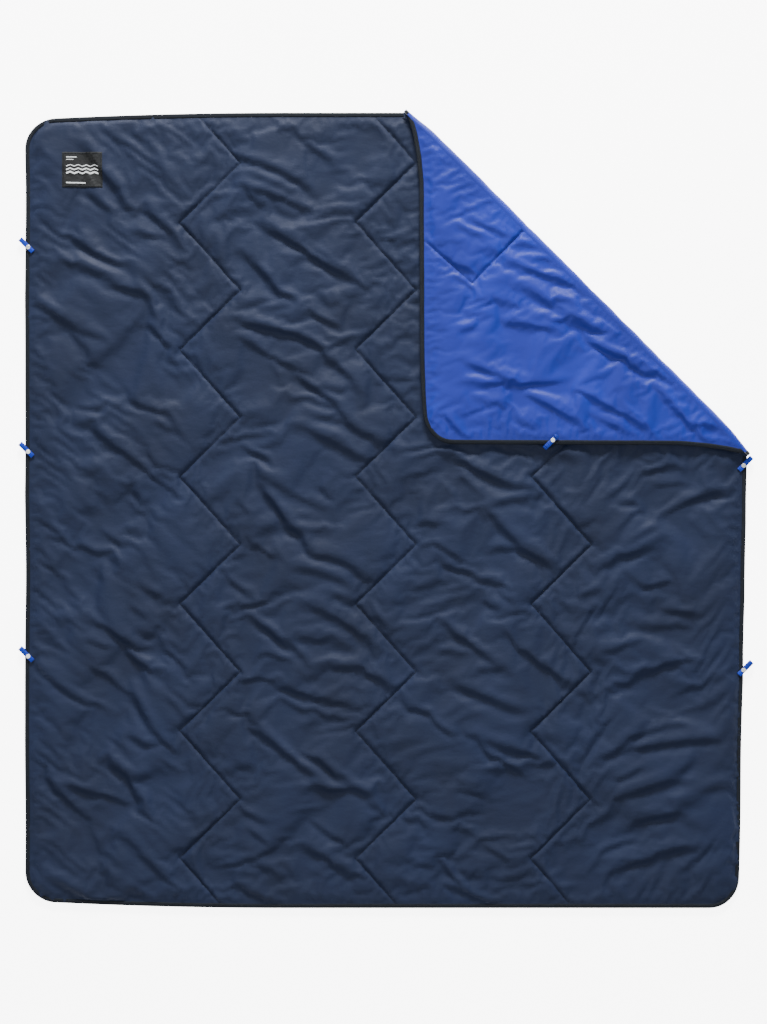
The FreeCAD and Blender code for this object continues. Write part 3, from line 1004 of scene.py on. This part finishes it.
def build_main():
    names = ("main_shell_cloth", "main_lining_cloth", "main_batting_fill")
    shell, lining, fill = quilt(MAIN, names, top_spacing, UNDER_SPACING, 1)
    finish_piece(shell, SHELL, "shell_fabric", "blanket", "main_shell")
    finish_piece(lining, LINING, "lining_fabric", "blanket", "main_lining")
    finish_piece(fill, BATTING, "batting_fibre", "blanket", "main_batting")
    return shell


def build_corner():
    names = ("corner_lining_cloth", "corner_shell_cloth", "corner_batting_fill")
    lining, shell, fill = quilt(CORNER, names, top_spacing * 0.75, UNDER_SPACING * 0.8, 4)
    finish_piece(lining, LINING, "lining_fabric", "corner", "corner_lining")
    finish_piece(shell, SHELL, "shell_fabric", "corner", "corner_shell")
    finish_piece(fill, BATTING, "batting_fibre", "corner", "corner_batting")


# ======== crease
def crease_strip(name, inner, start, end, radius_at, arc=16, lap=0.0):
    """One layer of the roll: from the main panel, round the crease, to the turned corner."""
    stations = np.linspace(start, end, round((end - start) / CREASE_STEP) + 1)
    verts, faces = [], []
    turns = list(np.radians(np.linspace(-90, 90, arc + 1)))
    if lap:
        turns = [turns[0]] + turns + [turns[-1]]
    last = len(turns) - 1
    for s in stations:
        base = HINGE_XY + ALONG * s
        for k, t in enumerate(turns):
            r = radius_at(s, t)
            back = lap if lap and k in (0, last) else 0.0
            out = base + OUTWARD * (r * math.cos(t) - back)
            verts.append((out[0], out[1], HINGE.z + r * math.sin(t)))
    for i in range(len(stations) - 1):
        for k in range(last):
            a, b = i * (last + 1) + k, (i + 1) * (last + 1) + k
            faces.append((a, b, b + 1, a + 1) if not inner else (a, a + 1, b + 1, b))
    return new_mesh(name, verts, faces)


def crease_heights(stations):
    """How far each skin stands from the hinge, below (main panel) and above (corner)."""
    xy = np.array([HINGE_XY + ALONG * s for s in stations])
    low = (HINGE.z - MID) + main_height(xy, False)
    high = (CORNER_MID - HINGE.z) + flap_height(xy, True)
    return low, high


def build_crease():
    fold_start = np.array((FOLD_SUM - HALF_Y, HALF_Y))
    start = float((fold_start - HINGE_XY) @ ALONG)
    length = float(np.linalg.norm(fold_start - np.array((HALF_X, FOLD_SUM - HALF_X))))
    stations = np.arange(start, start + length + 2 * CREASE_STEP, CREASE_STEP)
    low, high = crease_heights(stations)

    def outer(s, t):
        share = (math.sin(t) + 1) / 2
        r = np.interp(s, stations, low) * (1 - share) + np.interp(s, stations, high) * share
        end = min(1.0, (s - start) / 0.10, (start + length - s) / 0.10)
        bow = CREASE_BOW * math.cos(t) * max(0.0, end)
        ripple = CREASE_RIPPLE * noise.noise((s * 22, t, 41.0)) * math.cos(t)
        return r + bow + ripple

    lining = crease_strip("crease_lining_roll", False, start, start + length, outer)
    fill = crease_strip("crease_batting_roll", False, start, start + length,
                        lambda s, t: outer(s, t) - FILL_SKIN - 0.5 * MM)
    shell = crease_strip("crease_shell_roll", True, start, start + length,
                         lambda s, t: INNER_RADIUS, 8, INNER_LAP)
    layers = ((lining, LINING, "lining_fabric", "crease_lining"),
              (fill, BATTING, "batting_fibre", "crease_batting"),
              (shell, SHELL, "shell_fabric", "crease_shell"))
    for piece, look, slot, node in layers:
        finish_piece(piece, look, slot, None, node)
    for piece in (lining, fill):
        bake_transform(piece)
    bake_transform(shell)
    for name, at in (("top", start), ("side", start + length)):
        piece = crease_tape(f"crease_binding_{name}", at, 1 if name == "top" else -1)
        finish_piece(piece, TAPE, "binding_tape", None)
        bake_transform(piece)


def crease_tape(name, at, inward):
    """The binding where it turns through the crease, from one panel's edge to the other's."""
    rings, uv = [], []
    for k, t in enumerate(np.radians(np.linspace(-90, 90, 15))):
        ring = []
        for d, h in TAPE_SECTION:
            r = (HINGE.z - MID) + h * 2 * TAPE_HALF
            p = HINGE_XY + ALONG * (at + inward * d * TAPE_WIDTH) + OUTWARD * r * math.cos(t)
            ring.append((p[0], p[1], HINGE.z + r * math.sin(t)))
        rings.append(ring if inward > 0 else ring[::-1])
        uv.append([(k * 2.5 * MM, j * 2 * MM) for j in range(len(ring))])
    return loft(name, rings, False, uv)


# ======== edge and stitching
def build_edges():
    for prefix, panel, body, seed in (("main", MAIN, "blanket", 51), ("corner", CORNER, "corner", 61)):
        rim = panel.outline()
        tape = edge_tape(f"{prefix}_binding_tape", panel, seed)
        finish_piece(tape, TAPE, "binding_tape", body, f"{prefix}_binding")
        row = inset_route(rim, TAPE_STITCH_INSET)
        row = row[row.sum(1) < FOLD_SUM - TAPE_STITCH_END]
        near = [(LOOPS[n][0], LOOP_STITCH_GAP) for n in panel.loops]
        stitches = stitch_row(f"{prefix}_binding_stitches", row, panel.settle,
                              lambda xy, face: np.full(len(xy), TAPE_STITCH_UP),
                              panel.mid, (1, -1), skip=near)
        finish_piece(stitches, TAPE_THREAD, "binding_thread", body, f"{prefix}_binding_stitching")


def inset_route(route, distance):
    return np.array(route) + left_of(directions(route)) * distance


def seam_row(name, panel, route):
    """The stitches of one seam, on both faces of a panel."""
    return stitch_row(name, route, panel.settle,
                      lambda xy, face: panel.height(xy, face > 0) + SEAM_STITCH_UP, panel.mid, (1, -1))


def build_seam_stitches():
    for name, route in MAIN_SEAMS.items():
        row = seam_row(f"main_seam_stitches_{name}", MAIN, route)
        finish_piece(row, SHELL_THREAD, "shell_thread", "blanket", f"main_seam_thread_{name}")
    row = seam_row("corner_seam_stitches", CORNER, FLAP_SEAM)
    finish_piece(row, LINING_THREAD, "lining_thread", "corner", "corner_seam_thread_right")


# ======== label
def surface_height(piece):
    """A function that gives a face's height at a place, from its nearest points."""
    tree = KDTree(len(piece.data.vertices))
    for i, v in enumerate(piece.data.vertices):
        tree.insert((v.co.x, v.co.y, 0), i)
    tree.balance()

    def at(x, y):
        found = tree.find_n((x, y, 0), 6)
        weights = [1 / (d + 1e-4) ** 2 for _, _, d in found]
        heights = [piece.data.vertices[i].co.z for _, i, _ in found]
        return sum(w * h for w, h in zip(weights, heights)) / sum(weights)
    return at


def patch(name, low, high, lift, thick, surface, cells, rounding=0.0):
    """A thin closed patch that lies on a surface."""
    nx, ny = cells
    xs, ys = np.linspace(low[0], high[0], nx + 1), np.linspace(low[1], high[1], ny + 1)
    top = [(x, y, surface(x, y) + lift + thick) for y in ys for x in xs]
    bottom = [(x, y, z - thick) for x, y, z in top]
    count, row = len(top), nx + 1
    faces = []
    for j in range(ny):
        for i in range(nx):
            a = j * row + i
            faces.append((a, a + 1, a + row + 1, a + row))
            faces.append((a + count, a + row + count, a + row + 1 + count, a + 1 + count))
    rim = list(range(nx)) + [nx + j * row for j in range(ny)]
    rim += [ny * row + nx - i for i in range(nx)] + [(ny - j) * row for j in range(ny)]
    for a, b in zip(rim, rim[1:] + rim[:1]):
        faces.append((b, a, a + count, b + count))
    return new_mesh(name, top + bottom, faces)


def motif_strokes(low, high):
    """A plain woven motif: three chevron rows and three bars, as polylines in the label's box."""
    width, height = high[0] - low[0], high[1] - low[1]

    def at(u, v):
        return np.array((low[0] + u * width, low[1] + v * height))
    strokes = [([at(0.10, 0.86), at(0.36, 0.86)], 2.2), ([at(0.10, 0.79), at(0.28, 0.79)], 1.6)]
    strokes.append(([at(0.10, 0.13), at(0.58, 0.13)], 3.0))
    for row, weight in ((0.60, 2.0), (0.50, 3.2), (0.40, 4.2)):
        points = [at(0.10 + 0.10 * k, row + (0.045 if k % 2 else 0.0)) for k in range(9)]
        strokes.append((points, weight))
    return strokes


def label_motif(low, high, surface):
    """The motif as flat raised strokes that follow the surface."""
    verts, faces = [], []
    for points, weight in motif_strokes(low, high):
        route = evenly(np.array(points), 2 * MM)
        base = len(verts)
        for p, w in zip(route, directions(route)):
            side = np.array((-w[1], w[0])) * weight * MM / 2
            z = surface(p[0], p[1]) + MOTIF_UP
            top = z + MOTIF_THICK
            verts += [(*(p + side), z), (*(p - side), z), (*(p - side), top), (*(p + side), top)]
        for k in range(len(route) - 1):
            a = base + 4 * k
            faces += [(a + i, a + (i + 1) % 4, a + 4 + (i + 1) % 4, a + 4 + i) for i in range(4)]
        faces += [(base + 3, base + 2, base + 1, base), tuple(range(len(verts) - 4, len(verts)))]
    return new_mesh("label_motif", verts, faces, False)


def build_label(shell):
    surface = surface_height(shell)
    low, high = (Vector(c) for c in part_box("label"))
    cells = ((50, 44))
    cloth = patch("label_patch", low, high, LABEL_LIFT, LABEL_THICK, surface, cells)
    finish_piece(cloth, LABEL, "label_fabric", "blanket", "label")
    xs = (low.x + LABEL_STITCH_INSET, high.x - LABEL_STITCH_INSET)
    ys = (low.y + LABEL_STITCH_INSET, high.y - LABEL_STITCH_INSET)
    ring = np.array([(xs[0], ys[0]), (xs[1], ys[0]), (xs[1], ys[1]), (xs[0], ys[1]), (xs[0], ys[0])])
    row = stitch_row("label_stitches", ring, lambda p: p,
                     lambda xy, face: np.array([surface(x, y) + LABEL_STITCH_UP for x, y in xy]),
                     0.0, (1,), LABEL_STITCH_PITCH)
    finish_piece(row, TAPE_THREAD, "pale_thread", "blanket", "label_stitching")
    finish_piece(label_motif(low, high, surface), PALE_THREAD, "pale_thread", "blanket")


# ======== loops
def strap(name, mid, cap, point, path, half_width=STRAP_HALF, thick=STRAP_THICK):
    """A length of webbing along a path of (u, w) from the edge point."""
    origin = cap + point * SNAP_FROM_EDGE
    side = np.array((-point[1], point[0]))
    route = np.array(path)
    lift = left_of(directions(route))
    rings, uv, gone = [], [], 0.0
    for i, (r, n) in enumerate(zip(route, lift)):
        gone += float(np.hypot(*(r - route[i - 1]))) if i else 0.0
        ring = []
        for v, t in STRAP_SECTION:
            u, w = r + n * t * thick / 2
            place = origin + point * u + side * v * half_width
            ring.append((place[0], place[1], mid + w))
        rings.append(ring[::-1])
        uv.append([(gone, v * half_width) for v, t in STRAP_SECTION][::-1])
    return loft(name, rings, True, uv)


def line(start, end, count):
    return [(start[0] + (end[0] - start[0]) * k / count, start[1] + (end[1] - start[1]) * k / count)
            for k in range(count + 1)]


def build_loops():
    """Each strap: sewn below, round the bend, snapped above, and the hem at its end."""
    for name, (cap, point) in LOOPS.items():
        on_corner = name == CORNER_LOOP
        mid = CORNER_MID if on_corner else MID
        parent, tab_body = ("corner" if on_corner else "blanket"), f"loop_tab_{name}"
        low, high = -TAPE_OUT - STRAP_THICK / 2, -TAPE_OUT + STRAP_EYE + STRAP_THICK / 2
        bend_w, radius = (low + high) / 2, (high - low) / 2
        meet = BEND_U - 0.4 * MM
        arc = [(BEND_U + radius * math.sin(t) * 0.98, bend_w - radius * math.cos(t))
               for t in np.linspace(0, math.pi, 15)]
        arc = [(meet, low)] + arc + [(meet, high)]
        hem_w = high + STRAP_THICK
        place = (mid, cap, point)
        base = strap(f"strap_base_web_{name}", *place, line((-BASE_BACK, low), (meet, low), 8))
        tab = strap(f"strap_tab_web_{name}", *place, line((meet, high), (-TAB_BACK, high), 10))
        hem = strap(f"strap_hem_web_{name}", *place, line((-HEM_BACK, hem_w), (-TAB_BACK, hem_w), 4),
                    STRAP_HALF * 0.98, STRAP_THICK * 0.8)
        bend = strap(f"strap_bend_web_{name}", *place, arc)
        finish_piece(base, WEBBING, "strap_webbing", parent, f"strap_base_{name}")
        finish_piece(tab, WEBBING, "strap_webbing", tab_body, f"strap_tab_{name}")
        finish_piece(hem, WEBBING, "strap_webbing", tab_body)
        finish_piece(bend, WEBBING, "strap_webbing", None, f"strap_bend_{name}")
        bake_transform(bend)


# ======== floor, light, camera
def build_stage():
    corners = [(FLOOR_HALF * x, FLOOR_HALF * y, 0) for x, y in ((-1, -1), (1, -1), (1, 1), (-1, 1))]
    floor = new_mesh("floor", corners, [(0, 1, 2, 3)])
    paper = Look("floor_paper", 0.9, Specular_IOR_Level=0.1, Emission_Strength=FLOOR_GLOW)
    paper.base(paper.colours(paper.noise(3.0), (0.3, (0.92, 0.92, 0.92)), (0.7, (0.95, 0.95, 0.95))))
    floor.data.materials.append(paper.material)
    world = bpy.data.worlds.new("world")
    world.use_nodes = True
    world.node_tree.nodes["Background"].inputs[0].default_value = (1, 1, 1, 1)
    world.node_tree.nodes["Background"].inputs[1].default_value = WORLD_LIGHT
    bpy.context.scene.world = world
    area_light("key", *KEY_LIGHT)
    area_light("fill", *FILL_LIGHT)


def area_light(name, place, size, power):
    data = bpy.data.lights.new(name, "AREA")
    data.shape = "RECTANGLE"
    data.size, data.size_y = size
    data.energy = power
    lamp = bpy.data.objects.new(name, data)
    lamp.location = place
    lamp.rotation_euler = (-Vector(place)).to_track_quat("-Z", "Y").to_euler()
    bpy.context.scene.collection.objects.link(lamp)


def build_camera():
    data = bpy.data.cameras.new("camera")
    data.lens = CAMERA_LENS
    data.sensor_width = 36
    camera = bpy.data.objects.new("camera", data)
    camera.location = CAMERA_PLACE
    bpy.context.scene.collection.objects.link(camera)
    bpy.context.scene.camera = camera


# ======== CAD pieces that stay
def dress_cad():
    for name, piece in frame["nodes"].items():
        if name.startswith("snap_"):
            look = METAL
        elif name.startswith("bar_tack"):
            look = STRAP_THREAD
        else:
            continue
        piece.data.materials.clear()
        piece.data.materials.append(look)

build_camera()
build_stage()
shell_face = build_main()
build_corner()
build_crease()
build_edges()
build_seam_stitches()
build_label(shell_face)
build_loops()
dress_cad()
